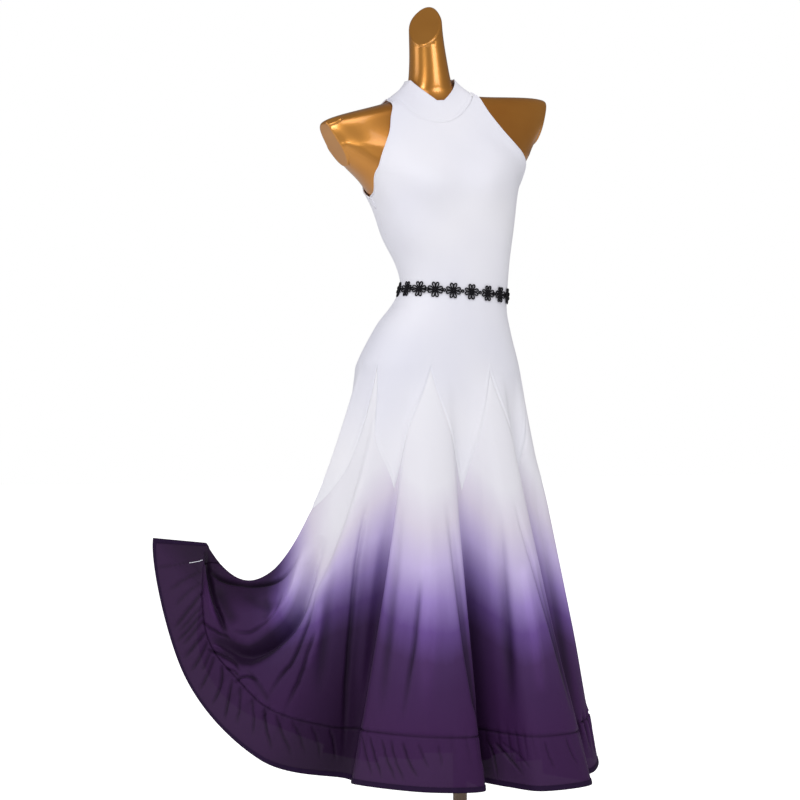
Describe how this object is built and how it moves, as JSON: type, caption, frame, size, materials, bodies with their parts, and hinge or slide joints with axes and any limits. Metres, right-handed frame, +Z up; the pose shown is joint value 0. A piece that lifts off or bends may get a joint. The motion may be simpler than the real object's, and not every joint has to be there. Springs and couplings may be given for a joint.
{
  "type": "ballroom dance dress on a dress form",
  "caption": "Sleeveless halter dance dress with a stand collar, pointed hip seam, lace belt and a flared ombre skirt drawn out on one side, worn by a limbless display form on a round base.",
  "frame": {"origin": "centre of the base plate's underside, on the pole's axis, at floor level", "axes": "+Z up along the pole, -Y the way the front of the bodice faces, +X the wearer's left"},
  "size_m": [0.8183, 0.5351, 1.5723],
  "materials": {
    "bodice_jersey": "smooth white stretch jersey",
    "skirt_chiffon": "sheer chiffon, white at the hip through violet to plum",
    "flounce_chiffon": "sheer plum chiffon, gathered, bound at the hem",
    "lace": "matte black corded lace",
    "form_gold": "glossy bronze-gold lacquer",
    "pole_steel": "satin brown-grey metal"
  },
  "bodies": {
    "root": {"bodice_front": "bodice_jersey", "bodice_back_left": "bodice_jersey", "bodice_back_right": "bodice_jersey", "collar": "bodice_jersey", "belt_front": "lace", "belt_back": "lace", "gore_1": "skirt_chiffon", "gore_2": "skirt_chiffon", "gore_3": "skirt_chiffon", "gore_4": "skirt_chiffon", "gore_5": "skirt_chiffon", "gore_6": "skirt_chiffon", "gore_7": "skirt_chiffon", "gore_8": "skirt_chiffon", "flounce_1": "flounce_chiffon", "flounce_2": "flounce_chiffon", "flounce_3": "flounce_chiffon", "flounce_4": "flounce_chiffon", "flounce_5": "flounce_chiffon", "flounce_6": "flounce_chiffon", "flounce_7": "flounce_chiffon", "flounce_8": "flounce_chiffon", "form": "form_gold", "pole": "pole_steel", "socket": "pole_steel", "base": "pole_steel"}
  },
  "joints": []
}
